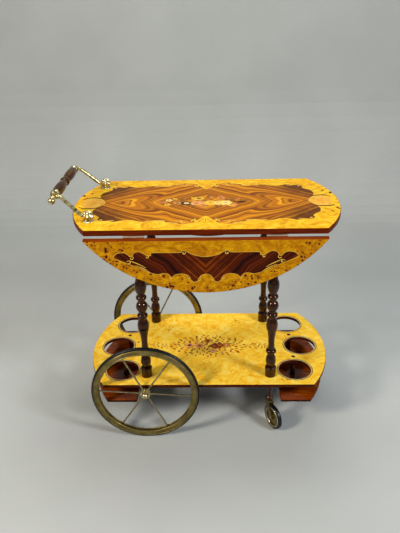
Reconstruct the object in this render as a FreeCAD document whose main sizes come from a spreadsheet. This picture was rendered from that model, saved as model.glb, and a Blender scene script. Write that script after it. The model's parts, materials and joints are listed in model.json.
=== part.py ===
import FreeCAD, Part
import math
import os
import re
from FreeCAD import Placement, Rotation, Vector

# Serving trolley: a round drop-leaf top on four turned legs, a lower shelf with
# bottle holes, two spoked wheels at the handle end and two casters at the other.
# X runs along the length with the handle at the low end, Y from front to rear,
# Z up from the floor. The origin lies on the floor under the middle of the box.

doc = FreeCAD.newDocument("serving_trolley")
sheet = doc.addObject("Spreadsheet::Sheet", "Sizes")

# Driving sizes in millimetres, angles in degrees
sizes = {
    # top and leaves
    "top_width": 386.7,
    "leaf_depth": 156.65,
    "top_thick": 15,
    "edge_round": 2.5,
    "leaf_gap": 0.6,
    "leaf_tilt": 9.3,
    # lower shelf and its bottle holes
    "shelf_radius": 344,
    "shelf_width": 378.8,
    "shelf_thick": 10,
    "shelf_height": 167.5,
    "hole_radius": 45,
    "hole_round": 1.5,
    "hole_inset": 73.7,
    "side_hole_y": 121,
    # turned legs
    "leg_end_inset": 173,
    "leg_inset": 48.35,
    "leg_length": 440.9,
    "leg_foot_radius": 14.9,
    "leg_foot_height": 30,
    "leg_neck_radius": 9.2,
    "leg_neck_height": 2.5,
    "leg_egg_radius": 14,
    "leg_egg_height": 40,
    "leg_bead_radius": 14.2,
    "leg_bead_height": 19,
    "leg_vase_radius": 15.3,
    "leg_ball_radius": 15.6,
    "leg_ball_height": 35,
    "leg_foot_round": 2.5,
    "leg_tenon_radius": 7,
    "leg_tenon_top": 8,
    "leg_tenon_foot": 3.5,
    "joint_fit": 0.1,
    # bottle rests under the shelf
    "rest_inset": 10,
    "rest_depth": 135,
    "rest_thick": 7.5,
    "rest_round": 1.5,
    "rest_drop": 49.5,
    "post_inset": 99,
    "post_y": 58.5,
    "post_radius": 8,
    "post_tenon_radius": 5.5,
    # axle and its blocks
    "block_width": 32,
    "block_height": 25,
    "block_inside": 17,
    "block_setback": 2.4,
    "block_round": 4,
    "axle_radius": 5,
    "run_gap": 0.05,
    "face_gap": 0.3,
    # spoked wheels
    "wheel_radius": 147.4,
    "wheel_offset": 10.3,
    "wheel_phase": -4,
    "tyre_depth": 7,
    "tyre_width": 10,
    "tyre_round": 3.5,
    "rim_depth": 12,
    "rim_width": 13,
    "rim_round": 2.5,
    "spoke_radius": 2.4,
    "spoke_seat_hub": 4,
    "spoke_seat_rim": 3,
    "hub_radius": 10,
    "hub_length": 19,
    "flange_radius": 14,
    "flange_width": 8,
    "cap_radius": 9,
    "cap_height": 11,
    "cap_depth": 7,
    "cap_brim": 2,
    "cap_tip_radius": 2,
    # casters
    "stub_length": 73.5,
    "stub_radius": 11.5,
    "socket_radius": 11,
    "socket_height": 5,
    "stem_radius": 3,
    "stem_rise": 30,
    "stem_head_radius": 5.2,
    "stem_head_height": 2,
    "caster_radius": 36.7,
    "caster_trail": 21.5,
    "front_caster_turn": -60,
    "rear_caster_turn": -75,
    "caster_tyre_depth": 6,
    "caster_tyre_width": 11,
    "caster_tyre_round": 3,
    "disc_rim_depth": 5,
    "disc_rim_width": 10,
    "disc_web_width": 5,
    "disc_hub_radius": 7,
    "disc_hub_width": 12,
    "fork_side_gap": 1,
    "fork_thick": 2.2,
    "fork_crown": 3,
    "fork_crown_radius": 10,
    "fork_arm_width": 12,
    "pin_radius": 2.5,
    "pin_head_radius": 4,
    "pin_head_height": 1.2,
    # leaf hinges
    "hinge_x": 171,
    "hinge_length": 50,
    "hinge_plate": 24,
    "hinge_thick": 1.5,
    "hinge_drop": 2.5,
    "knuckle_radius": 2.2,
    "knuckle_middle": 18,
    "hinge_pin_radius": 1.1,
    "screw_radius": 1.3,
    "screw_head_radius": 2.6,
    "screw_length": 8.5,
    "screw_x": 16,
    "screw_y": 15,
    # swinging leaf supports
    "support_x": 50,
    "support_inside": 105,
    "support_reach": 138,
    "support_width": 16,
    "support_thick": 2,
    "pivot_radius": 3,
    "pivot_head_radius": 6.5,
    "pivot_head_height": 2.5,
    "pivot_depth": 8,
    # handle
    "bracket_inset": 60,
    "bracket_y": 131,
    "bracket_radius": 12,
    "bracket_neck_radius": 8.5,
    "bracket_ball_radius": 10.5,
    "bracket_height": 26,
    "bracket_tip_radius": 3,
    "stud_radius": 2.5,
    "stud_length": 8,
    "arm_radius": 4.8,
    "arm_foot_height": 14,
    "arm_foot_run": 16,
    "arm_foot_bend": 12,
    "arm_head_bend": 22,
    "arm_level_run": 14,
    "arm_ball_radius": 9,
    "arm_ball_out": 7,
    "arm_ball_drop": 11.6,
    "eye_radius": 7.5,
    "eye_width": 12,
    "grip_overhang": 21,
    "grip_height": 61.6,
    "grip_half": 110,
    "grip_radius": 13,
    "grip_neck_radius": 9.6,
    "grip_collar": 8,
    "grip_bead": 24,
    "grip_groove": 3,
    "rod_radius": 3,
    "knob_radius": 5,
    "knob_neck_radius": 3.6,
}
for row, (alias, value) in enumerate(sizes.items(), 1):
    sheet.set("A%d" % row, alias)
    sheet.set("B%d" % row, str(value))
    sheet.setAlias("B%d" % row, alias)
doc.recompute()

spoke_count = 6

# Places that several pieces share, as formulas of the sizes
table_x = "(grip_overhang + arm_ball_out + arm_ball_radius) / 2"
top_radius = "(top_width / 2 + leaf_depth)"
top_under = "(shelf_height + leg_length)"
top_face = "(shelf_height + leg_length + top_thick)"
shelf_under = "(shelf_height - shelf_thick)"
hinge_z = "(shelf_height + leg_length - hinge_drop)"
stub_end = "(shelf_height - shelf_thick - stub_length)"
crown_top = "(shelf_height - shelf_thick - stub_length - socket_height - face_gap)"
fork_half = "(caster_tyre_width / 2 + fork_side_gap + fork_thick)"
hub_face = "(hub_length / 2 + face_gap)"
hole_circle = "(shelf_radius - hole_inset)"
rest_inner = "(shelf_radius - rest_inset - rest_depth)"
post_x = "(shelf_radius - post_inset)"
wheel_y = "(shelf_width / 2 + wheel_offset)"
leg_x = "(shelf_radius - leg_end_inset)"
leg_y = "(top_width / 2 - leg_inset)"
bracket_x = "(top_width / 2 + leaf_depth - bracket_inset)"
grip_reach = "(top_width / 2 + leaf_depth + grip_overhang)"

nodes = []


def size(alias):
    return float(sheet.get(alias))


def formula(text):
    return re.sub("|".join(r"\b%s\b" % alias for alias in sizes), r"Sizes.\g<0>", text)


def bind(piece, **links):
    for name, text in links.items():
        path = "Placement.Base." + name if name in "xyz" else name
        piece.setExpression(path, formula(text))
    return piece


def node(piece, label):
    piece.Label = label
    nodes.append(piece)
    return piece


turns = {
    "x": Rotation(Vector(0, 1, 0), 90),
    "y": Rotation(Vector(1, 0, 0), -90),
    "z": Rotation(),
}


def box(name, length, width, height, x="0", y="0", z="0"):
    # a block centred on x and y, standing on z
    piece = doc.addObject("Part::Box", name)
    corner_x = "%s - (%s) / 2" % (x, length)
    corner_y = "%s - (%s) / 2" % (y, width)
    return bind(piece, Length=length, Width=width, Height=height, x=corner_x, y=corner_y, z=z)


def rod(name, radius, height, x="0", y="0", z="0", along="z"):
    # a round bar whose start lies at x, y, z
    piece = doc.addObject("Part::Cylinder", name)
    piece.Placement = Placement(Vector(), turns[along])
    return bind(piece, Radius=radius, Height=height, x=x, y=y, z=z)


def ball(name, radius, x, y, z):
    piece = doc.addObject("Part::Sphere", name)
    return bind(piece, Radius=radius, x=x, y=y, z=z)


def joined(name, pieces):
    piece = doc.addObject("Part::MultiFuse", name)
    piece.Shapes = pieces
    return piece


def group(name, pieces):
    piece = doc.addObject("Part::Compound", name)
    piece.Links = pieces
    return piece


def cut(name, base, tools):
    piece = doc.addObject("Part::Cut", name)
    piece.Base = base
    piece.Tool = tools[0] if len(tools) == 1 else group(name + "_tools", tools)
    return piece


def shared(name, first, second):
    piece = doc.addObject("Part::Common", name)
    piece.Base = first
    piece.Tool = second
    return piece


def rounded(name, base, radius, wanted):
    doc.recompute()
    piece = doc.addObject("Part::Fillet", name)
    piece.Base = base
    edges = enumerate(base.Shape.Edges, 1)
    piece.Edges = [(index, radius, radius) for index, edge in edges if wanted(edge)]
    return piece


def level(edge):
    return edge.BoundBox.ZLength < 1e-6


def upright(edge):
    return edge.BoundBox.ZLength > 1e-6 and edge.BoundBox.XLength + edge.BoundBox.YLength < 1e-6


def turned(name, points):
    # A lathe-turned body about its own Z. Each point is (radius, height), and a
    # point with four figures is an arc through (radius, height) to the next pair.
    body = doc.addObject("PartDesign::Body", name)
    plane = [part for part in body.Origin.OriginFeatures if part.Role == "XZ_Plane"][0]
    sketch = body.newObject("Sketcher::SketchObject", name + "_profile")
    sketch.AttachmentSupport = (plane, [""])
    sketch.MapMode = "FlatFace"
    start = Vector(points[0][0], points[0][1], 0)
    last = start
    for point in points[1:] + [points[0]]:
        end = Vector(point[-2], point[-1], 0)
        if len(point) == 4:
            sketch.addGeometry(Part.Arc(last, Vector(point[0], point[1], 0), end), False)
        elif end.distanceToPoint(last) > 1e-7:
            sketch.addGeometry(Part.LineSegment(last, end), False)
        last = end
    revolution = body.newObject("PartDesign::Revolution", name + "_turning")
    revolution.Profile = sketch
    revolution.ReferenceAxis = (sketch, ["V_Axis"])
    revolution.Angle = 360
    return body


ends = (("left", "-1"), ("right", "1"))
sides = (("front", "-1"), ("rear", "1"))


def mirrored_places(x, y):
    return [("%s + %s * %s" % (table_x, a, x), "%s * %s" % (b, y)) for _, a in ends for _, b in sides]


# Turned legs, alike in both halves: foot, egg, bead, vase and bead up to the
# middle ball, then the same in reverse up to the head, with a tenon at each end.
# The two vases take what the leg length leaves.
def leg(name):
    neck = size("leg_neck_radius")
    foot = size("leg_foot_radius")
    tenon = size("leg_tenon_radius")
    edge = size("leg_foot_round")
    groove = size("leg_neck_height")
    length = size("leg_length")
    low = -size("shelf_thick") - size("leg_tenon_foot")
    high = length + size("leg_tenon_top")
    egg = size("leg_egg_height")
    bead = size("leg_bead_height")
    ball = size("leg_ball_height")
    vase = (length - ball) / 2 - size("leg_foot_height") - egg - 2 * bead
    bulges = [
        ("swell", size("leg_egg_radius"), egg),
        ("swell", size("leg_bead_radius"), bead),
        ("vase", size("leg_vase_radius"), vase),
        ("swell", size("leg_bead_radius"), bead),
    ]
    mirror = [("urn" if shape == "vase" else shape, wide, tall) for shape, wide, tall in bulges[::-1]]
    points = [(0, low), (tenon, low), (tenon, 0), (foot, 0)]
    z = size("leg_foot_height")
    points += [(foot, z - edge), (foot - 0.3 * edge, z - 0.3 * edge, foot - edge, z), (neck, z)]
    for shape, wide, tall in bulges + [("swell", size("leg_ball_radius"), ball)] + mirror:
        slim = 0.97 * neck
        waist = neck + 0.5 * (wide - neck)
        if shape == "swell":
            points.append((neck, z + groove))
            points.append((wide, z + tall / 2, neck, z + tall - groove))
            points.append((neck, z + tall))
        if shape == "vase":
            points.append((slim, z + 0.35 * tall, waist, z + 0.58 * tall))
            points.append((wide, z + 0.82 * tall, neck, z + tall))
        if shape == "urn":
            points.append((wide, z + 0.18 * tall, waist, z + 0.42 * tall))
            points.append((slim, z + 0.65 * tall, neck, z + tall))
        z += tall
    points += [(foot - edge, z), (foot - 0.3 * edge, z + 0.3 * edge, foot, z + edge)]
    points += [(foot, length), (tenon, length), (tenon, high), (0, high)]
    return turned(name, points)


for end, across in ends:
    for side, way in sides:
        piece = node(leg(side + "_" + end + "_leg"), side + "_" + end + "_leg")
        bind(piece, x="%s + %s * %s" % (table_x, across, leg_x), y=way + " * " + leg_y, z="shelf_height")

# Hinge screws, under the board on one plate and inside the leaf on the other
def screw(name, x, y, z):
    shank = rod(name + "_shank", "screw_radius", "screw_length", x, y, z)
    head = doc.addObject("Part::Cone", name + "_head")
    bind(head, Radius1="screw_head_radius", Radius2="screw_radius", Height="hinge_thick", x=x, y=y, z=z)
    return joined(name, [head, shank])


board_screws = []
for side, way in sides:
    for end, across in ends:
        for number, step in (("1", "-1"), ("2", "1")):
            board_screws.append(
                screw(
                    "board_screw_" + side + "_" + end + "_" + number,
                    "%s + %s * hinge_x + %s * screw_x" % (table_x, across, step),
                    "%s * (top_width / 2 - screw_y)" % way,
                    top_under + " - hinge_thick",
                )
            )
node(group("hinge_screws", board_screws), "hinge_screws")

# Fixed top board, with blind holes for the leg tenons, screws, pivots and studs
disc = rod("top_disc", top_radius, "top_thick", table_x, "0", top_under)
strip = box("top_strip", "2 * " + top_radius, "top_width - leaf_gap", "top_thick", table_x, "0", top_under)
blank = shared("top_blank", disc, strip)
blank = rounded("top_rounded", blank, size("edge_round"), level)
tools = [board_screw for board_screw in board_screws]
for index, (x, y) in enumerate(mirrored_places(leg_x, leg_y)):
    tools.append(rod("leg_socket_%d" % index, "leg_tenon_radius + joint_fit",
                     "leg_tenon_top + joint_fit", x, y, top_under))
for side, way in sides:
    tools.append(rod(side + "_pivot_hole", "pivot_radius", "pivot_depth",
                     "%s - %s * support_x" % (table_x, way),
                     "%s * (top_width / 2 - support_inside)" % way, top_under))
    tools.append(rod(side + "_stud_hole", "stud_radius", "stud_length", table_x + " - " + bracket_x,
                     way + " * bracket_y", top_face + " - stud_length"))
node(cut("top_board", blank, tools), "top_board")


# Drop leaves, drawn level about their hinge line with the leaf towards +Y,
# then turned down to hang, where their own weight swings them inwards
def hung(piece, way):
    turn = Rotation(Vector(1, 0, 0), -90 - size("leaf_tilt"))
    if way == "-1":
        turn = Rotation(Vector(0, 0, 1), 180).multiply(turn)
    piece.Placement = Placement(Vector(), turn)
    return bind(piece, x=table_x, y=way + " * top_width / 2", z=hinge_z)


for side, way in sides:
    name = side + "_leaf"
    screws = []
    for end, across in ends:
        for number, step in (("1", "-1"), ("2", "1")):
            screws.append(screw(name + "_screw_" + end + "_" + number,
                                "%s * hinge_x + %s * screw_x" % (across, step), "screw_y",
                                "hinge_drop - hinge_thick"))
    disc = rod(name + "_disc", top_radius, "top_thick", "0", "-top_width / 2", "hinge_drop")
    strip = box(name + "_strip", "2 * " + top_radius, top_radius, "top_thick", "0",
                "(" + top_radius + " + leaf_gap) / 2", "hinge_drop")
    blank = shared(name + "_blank", disc, strip)
    blank = rounded(name + "_rounded", blank, size("edge_round"), level)
    hung(node(cut(name, blank, screws), name), way)
    hung(node(group(name + "_screws", screws), name + "_screws"), way)

    # Hinges: two knuckles stay with the board, the middle one turns with the leaf
    outer = "(hinge_length - knuckle_middle) / 2 - face_gap"
    pins = []
    for end, across in ends:
        label = side + "_" + end + "_hinge"
        x = "%s + %s * hinge_x" % (table_x, across)
        y = way + " * top_width / 2"
        pieces = [box(label + "_plate", "hinge_length", "hinge_plate - leaf_gap / 2", "hinge_thick", x,
                      "%s * (top_width / 2 - hinge_plate / 2 - leaf_gap / 4)" % way,
                      top_under + " - hinge_thick")]
        for number, step in (("1", "-1"), ("2", "1")):
            mid = "%s + %s * ((hinge_length + knuckle_middle) / 4 + face_gap / 2)" % (x, step)
            pieces.append(box(label + "_web_" + number, outer, "knuckle_radius - leaf_gap / 2",
                              "hinge_drop", mid,
                              "%s * (top_width / 2 - knuckle_radius / 2 - leaf_gap / 4)" % way,
                              hinge_z))
            pieces.append(rod(label + "_knuckle_" + number, "knuckle_radius", outer,
                              "%s - (%s) / 2" % (mid, outer), y, hinge_z, "x"))
        own = [item for item in board_screws if side + "_" + end in item.Name]
        bore = rod(label + "_bore", "hinge_pin_radius", "2 * hinge_length", x + " - hinge_length",
                   y, hinge_z, "x")
        notch = rod(label + "_notch", "knuckle_radius + face_gap", "knuckle_middle + 2 * face_gap",
                    x + " - knuckle_middle / 2 - face_gap", y, hinge_z, "x")
        plate = cut(label + "_fixed", joined(label + "_solid", pieces), own + [bore, notch])
        node(plate, label + "_fixed")
        pins.append(rod(label + "_pin", "hinge_pin_radius", "hinge_length",
                        x + " - hinge_length / 2", y, hinge_z, "x"))

        x = across + " * hinge_x"
        pieces = [
            box(label + "_flap", "hinge_length", "hinge_plate - leaf_gap / 2", "hinge_thick", x,
                "hinge_plate / 2 + leaf_gap / 4", "hinge_drop - hinge_thick"),
            box(label + "_flap_web", "knuckle_middle", "knuckle_radius - leaf_gap / 2", "hinge_drop", x,
                "knuckle_radius / 2 + leaf_gap / 4", "0"),
            rod(label + "_flap_knuckle", "knuckle_radius", "knuckle_middle",
                x + " - knuckle_middle / 2", "0", "0", "x"),
        ]
        own = [item for item in screws if "_" + end + "_" in item.Name]
        bore = rod(label + "_flap_bore", "hinge_pin_radius + run_gap", "2 * hinge_length",
                   x + " - hinge_length", "0", "0", "x")
        notches = [
            rod(label + "_flap_notch_1", "knuckle_radius + face_gap", "hinge_length",
                x + " - knuckle_middle / 2 - hinge_length", "0", "0", "x"),
            rod(label + "_flap_notch_2", "knuckle_radius + face_gap", "hinge_length",
                x + " + knuckle_middle / 2", "0", "0", "x"),
        ]
        flap = cut(label + "_moving", joined(label + "_flap_solid", pieces), own + [bore] + notches)
        hung(node(flap, label + "_moving"), way)
    node(group(side + "_hinge_pins", pins), side + "_hinge_pins")

    # Leaf support: a flat bar under the board that swings out under the raised leaf
    x = "%s - %s * support_x" % (table_x, way)
    y = "%s * (top_width / 2 - support_inside)" % way
    z = top_under + " - face_gap - support_thick"
    bar = joined(side + "_support_bar", [
        box(side + "_support_flat", "support_reach - support_width / 2", "support_width", "support_thick",
            x + " + %s * (support_reach - support_width / 2) / 2" % way, y, z),
        rod(side + "_support_root", "support_width / 2", "support_thick", x, y, z),
        rod(side + "_support_tip", "support_width / 2", "support_thick",
            x + " + %s * (support_reach - support_width / 2)" % way, y, z),
    ])
    bore = rod(side + "_support_bore", "pivot_radius + run_gap", "3 * support_thick", x, y,
               z + " - support_thick")
    node(cut(side + "_support_arm", bar, [bore]), side + "_support_arm")
    node(joined(side + "_support_screw", [
        rod(side + "_pivot_shank", "pivot_radius",
            "pivot_depth + 2 * face_gap + support_thick", x, y, z + " - face_gap"),
        rod(side + "_pivot_head", "pivot_head_radius", "pivot_head_height", x, y,
            z + " - face_gap - pivot_head_height"),
    ]), side + "_support_screw")

# Lower shelf with three bottle holes at each end
disc = rod("shelf_disc", "shelf_radius", "shelf_thick", table_x, "0", shelf_under)
strip = box("shelf_strip", "2 * shelf_radius", "shelf_width", "shelf_thick", table_x, "0", shelf_under)
holes = []
for end, across in ends:
    for index, step in enumerate(("-1", "0", "1")):
        y = step + " * side_hole_y"
        x = "%s + %s * sqrt(%s ^ 2 - (%s) ^ 2)" % (table_x, across, hole_circle, y)
        holes.append(rod("%s_hole_%d" % (end, index), "hole_radius", "shelf_thick", x, y, shelf_under))
blank = cut("shelf_blank", shared("shelf_outline", disc, strip), holes)
blank = rounded("shelf_rounded", blank, size("hole_round"), level)
tools = []
for index, (x, y) in enumerate(mirrored_places(leg_x, leg_y)):
    tools.append(rod("leg_hole_%d" % index, "leg_tenon_radius + joint_fit", "shelf_thick", x, y, shelf_under))
for index, (x, y) in enumerate(mirrored_places(post_x, "post_y")):
    tools.append(rod("post_hole_%d" % index, "post_tenon_radius", "shelf_thick", x, y, shelf_under))
node(cut("lower_shelf", blank, tools), "lower_shelf")

# Half-moon bottle rests, hung under the shelf ends on two turned posts each
rest_top = "(shelf_height - shelf_thick - rest_drop)"
for end, across in ends:
    name = end + "_bottle_rest"
    disc = rod(name + "_disc", "shelf_radius - rest_inset", "rest_thick", table_x, "0",
               rest_top + " - rest_thick")
    strip = box(name + "_strip", "shelf_radius - " + rest_inner, "shelf_width - 2 * rest_inset",
                "rest_thick", "%s + %s * (shelf_radius + %s) / 2" % (table_x, across, rest_inner), "0",
                rest_top + " - rest_thick")
    blank = rounded(name + "_rounded", shared(name + "_blank", disc, strip), size("rest_round"), level)
    posts = []
    tools = []
    for side, way in sides:
        label = end + "_" + side + "_post"
        drop = size("rest_drop")
        radius = size("post_radius")
        tenon = size("post_tenon_radius")
        post = turned(label, [
            (0, -size("rest_thick")), (tenon, -size("rest_thick")), (tenon, 0),
            (radius, 0), (0.8 * radius, drop / 2, radius, drop), (tenon, drop),
            (tenon, drop + size("shelf_thick")), (0, drop + size("shelf_thick")),
        ])
        x = "%s + %s * %s" % (table_x, across, post_x)
        y = way + " * post_y"
        posts.append(bind(post, x=x, y=y, z=rest_top))
        tools.append(rod(label + "_seat", "post_tenon_radius", "rest_thick", x, y,
                         rest_top + " - rest_thick"))
    node(cut(name, blank, tools), name)
    node(group(end + "_rest_posts", posts), end + "_rest_posts")

# Axle through two blocks under the left legs
axle_half = "(" + wheel_y + " + " + hub_face + " + cap_depth)"
axle_x = table_x + " - " + leg_x
node(rod("axle", "axle_radius", "2 * " + axle_half, axle_x, "-" + axle_half, "wheel_radius", "y"), "axle")
for side, way in sides:
    name = side + "_axle_block"
    long = "(shelf_width / 2 - block_setback - %s + block_inside)" % leg_y
    mid = "%s * (%s - block_inside + %s / 2)" % (way, leg_y, long)
    blank = box(name + "_blank", "block_width", long, "block_height", axle_x, mid,
                shelf_under + " - block_height")
    blank = rounded(name + "_rounded", blank, size("block_round"), upright)
    tools = [
        rod(name + "_bore", "axle_radius", "2 * " + axle_half, axle_x, "-" + axle_half,
            "wheel_radius", "y"),
        rod(name + "_socket", "leg_tenon_radius + joint_fit", "leg_tenon_foot + joint_fit", axle_x,
            way + " * " + leg_y, shelf_under + " - leg_tenon_foot - joint_fit"),
    ]
    node(cut(name, blank, tools), name)


# Spoked wheels, drawn about Z and stood up on the axle ends
def on_axle(piece, way):
    turn = Rotation(Vector(1, 0, 0), 90 if way == "-1" else -90)
    piece.Placement = Placement(Vector(), turn)
    return bind(piece, x=axle_x, y=way + " * " + wheel_y, z="wheel_radius")


def ring(name, outside, inside, width):
    return cut(name, rod(name + "_out", outside, width, z="-(%s) / 2" % width),
               [rod(name + "_in", inside, width, z="-(%s) / 2" % width)])


seat = "(wheel_radius - tyre_depth)"
inner = "(wheel_radius - tyre_depth - rim_depth)"
for side, way in sides:
    name = side + "_wheel"
    spokes = []
    for index in range(spoke_count):
        angle = size("wheel_phase") + index * 360 / spoke_count
        spoke = doc.addObject("Part::Cylinder", "%s_spoke_%d" % (name, index))
        turn = Rotation(Vector(0, 0, 1), angle).multiply(turns["x"])
        spoke.Placement = Placement(Vector(), turn)
        start = "(flange_radius - spoke_seat_hub)"
        bind(spoke, Radius="spoke_radius", Height=inner + " + spoke_seat_rim - " + start,
             x="%s * %.9f" % (start, math.cos(math.radians(angle))),
             y="%s * %.9f" % (start, math.sin(math.radians(angle))))
        spokes.append(spoke)
    tyre = rounded(name + "_tyre", ring(name + "_tyre_ring", "wheel_radius", seat, "tyre_width"),
                   size("tyre_round"),
                   lambda edge: edge.Curve.TypeId == "Part::GeomCircle"
                   and edge.Curve.Radius > size("wheel_radius") - 0.01)
    on_axle(node(tyre, name + "_tyre"), way)
    rim = rounded(name + "_rim_round", ring(name + "_rim_ring", seat, inner, "rim_width"),
                  size("rim_round"), level)
    on_axle(node(cut(name + "_rim", rim, spokes), name + "_rim"), way)
    on_axle(node(group(name + "_spokes", spokes), name + "_spokes"), way)
    hub = joined(name + "_hub_solid", [
        rod(name + "_barrel", "hub_radius", "hub_length", z="-hub_length / 2"),
        rod(name + "_flange", "flange_radius", "flange_width", z="-flange_width / 2"),
    ])
    bore = rod(name + "_hub_bore", "axle_radius + run_gap", "2 * hub_length", z="-hub_length")
    on_axle(node(cut(name + "_hub", hub, spokes + [bore]), name + "_hub"), way)
    high = size("hub_length") / 2 + size("face_gap")
    wide = size("cap_radius")
    top = high + size("cap_height")
    axle = size("axle_radius")
    brim = high + size("cap_brim")
    tip = size("cap_tip_radius")
    cap = turned(name + "_cap", [
        (axle, high), (wide, high), (wide, brim),
        (tip + 0.76 * (wide - tip), brim + 0.68 * (top - brim), tip, top), (0, top),
        (0, high + size("cap_depth")), (axle, high + size("cap_depth")),
    ])
    on_axle(node(cap, name + "_cap"), way)

# Casters under the right legs, each on a turned stub
for side, way in sides:
    name = side + "_caster"
    place = {"x": table_x + " + " + leg_x, "y": way + " * " + leg_y}
    wide = size("stub_radius")
    low = -size("stub_length")
    stem = size("stem_radius")
    tenon = size("leg_tenon_radius") + size("joint_fit")
    deep = -size("leg_tenon_foot") - size("joint_fit")
    stub = turned(name + "_stub", [
        (0, low + size("stem_rise")), (stem, low + size("stem_rise")), (stem, low), (0.8 * wide, low),
        (wide, low + 6, 0.75 * wide, low + 12), (0.62 * wide, low + 18),
        (0.7 * wide, low + 34, 0.95 * wide, low + 46), (wide, low + 53, 0.8 * wide, low + 58),
        (wide, low + 61), (wide, 0), (tenon, 0), (tenon, deep), (0, deep),
    ])
    bind(node(stub, name + "_stub"), z=shelf_under, **place)

    base = stub_end + " - socket_height"
    under = crown_top + " - fork_crown - face_gap"
    socket = joined(name + "_socket", [
        rod(name + "_cup", "socket_radius", "socket_height", z=base, **place),
        rod(name + "_stem", "stem_radius", stub_end + " + stem_rise - (" + under + ")", z=under, **place),
        rod(name + "_stem_head", "stem_head_radius", "stem_head_height",
            z=under + " - stem_head_height", **place),
    ])
    node(socket, name + "_socket")

    # fork, drawn trailing along +X and then turned about the stem
    arms = [
        box(name + "_crown", "2 * fork_crown_radius", "2 * " + fork_half, "fork_crown", "0", "0",
            crown_top + " - fork_crown"),
    ]
    head = size("shelf_height") - size("shelf_thick") - size("stub_length") - size("socket_height")
    head -= size("face_gap") + size("fork_crown")
    run = size("caster_trail")
    fall = head - size("caster_radius")
    lean = math.degrees(math.atan2(run, fall))
    for hand, step in (("a", "-1"), ("b", "1")):
        inside = "(caster_tyre_width / 2 + fork_side_gap)"
        arm = doc.addObject("Part::Box", name + "_arm_" + hand)
        arm.Placement = Placement(Vector(), Rotation(Vector(0, 1, 0), 180 - lean))
        bind(arm, Length="fork_arm_width", Width="fork_thick",
             Height="sqrt(caster_trail ^ 2 + (%s - fork_crown - caster_radius) ^ 2)" % crown_top,
             x="fork_arm_width / 2 * %.9f" % math.cos(math.radians(lean)),
             y="%s * (%s + fork_thick / 2) - fork_thick / 2" % (step, inside),
             z="%s - fork_crown + fork_arm_width / 2 * %.9f" % (crown_top, math.sin(math.radians(lean))))
        arms.append(arm)
        arms.append(rod(name + "_boss_" + hand, "fork_arm_width / 2", "fork_thick", "caster_trail",
                        "%s * (%s + fork_thick / 2) - fork_thick / 2" % (step, inside),
                        "caster_radius", "y"))
    tools = [
        rod(name + "_stem_bore", "stem_radius + run_gap", "6 * fork_crown",
            z=crown_top + " - 3 * fork_crown"),
        rod(name + "_pin_bore", "pin_radius", "4 * " + fork_half, "caster_trail", "-2 * " + fork_half,
            "caster_radius", "y"),
    ]
    fork = cut(name + "_fork", joined(name + "_fork_solid", arms), tools)
    pin = joined(name + "_pin", [
        rod(name + "_pin_bar", "pin_radius", "2 * " + fork_half, "caster_trail", "-" + fork_half,
            "caster_radius", "y"),
        rod(name + "_pin_head_a", "pin_head_radius", "pin_head_height", "caster_trail",
            "-%s - pin_head_height" % fork_half, "caster_radius", "y"),
        rod(name + "_pin_head_b", "pin_head_radius", "pin_head_height", "caster_trail", fork_half,
            "caster_radius", "y"),
    ])

    def disc_step(part, radius, width):
        return rod(name + part, radius, width, "caster_trail", "-(%s) / 2" % width, "caster_radius", "y")

    edge = "(caster_radius - caster_tyre_depth)"
    felly = cut(name + "_felly", disc_step("_felly_out", edge, "disc_rim_width"),
                [disc_step("_felly_in", edge + " - disc_rim_depth", "disc_rim_width")])
    disc = joined(name + "_disc", [
        felly,
        disc_step("_web", edge + " - disc_rim_depth / 2", "disc_web_width"),
        disc_step("_boss", "disc_hub_radius", "disc_hub_width"),
    ])
    bore = disc_step("_wheel_bore", "pin_radius + run_gap", "2 * disc_hub_width")
    wheel = cut(name + "_wheel", disc, [bore])
    band = cut(name + "_band", disc_step("_band_out", "caster_radius", "caster_tyre_width"),
               [disc_step("_band_in", edge, "caster_tyre_width")])
    tyre = rounded(name + "_tyre", band, size("caster_tyre_round"),
                   lambda edge: edge.Curve.TypeId == "Part::GeomCircle"
                   and edge.Curve.Radius > size("caster_radius") - 0.01)
    for piece, label in ((fork, "_fork"), (pin, "_pin"), (wheel, "_wheel"), (tyre, "_tyre")):
        turn = Rotation(Vector(0, 0, 1), size(side + "_caster_turn"))
        piece.Placement = Placement(Vector(), turn)
        bind(node(piece, name + label), **place)

# Handle: a cast bracket and a bent arm on each side, a turned grip on a tie rod.
# Each arm has an eye round the rod and ends in a ball below and behind it.
grip_x = "%s - %s" % (table_x, grip_reach)
grip_z = "%s + grip_height" % top_face


def bent_bar(corners, radii, radius):
    # a round bar along straight runs joined by tangent arcs
    edges = []
    start = corners[0]
    for before, corner, after, bend in zip(corners, corners[1:], corners[2:], radii):
        back = (before - corner).normalize()
        ahead = (after - corner).normalize()
        half = back.getAngle(ahead) / 2
        inward = (back + ahead).normalize()
        reach = bend / math.tan(half)
        middle = corner + inward * (bend / math.sin(half) - bend)
        entry = corner + back * reach
        leave = corner + ahead * reach
        edges.append(Part.LineSegment(start, entry).toShape())
        edges.append(Part.Arc(entry, middle, leave).toShape())
        start = leave
    edges.append(Part.LineSegment(start, corners[-1]).toShape())
    section = Part.Wire([Part.Circle(corners[0], corners[1] - corners[0], radius).toShape()])
    return Part.Wire(edges).makePipeShell([section], True, False)


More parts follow.
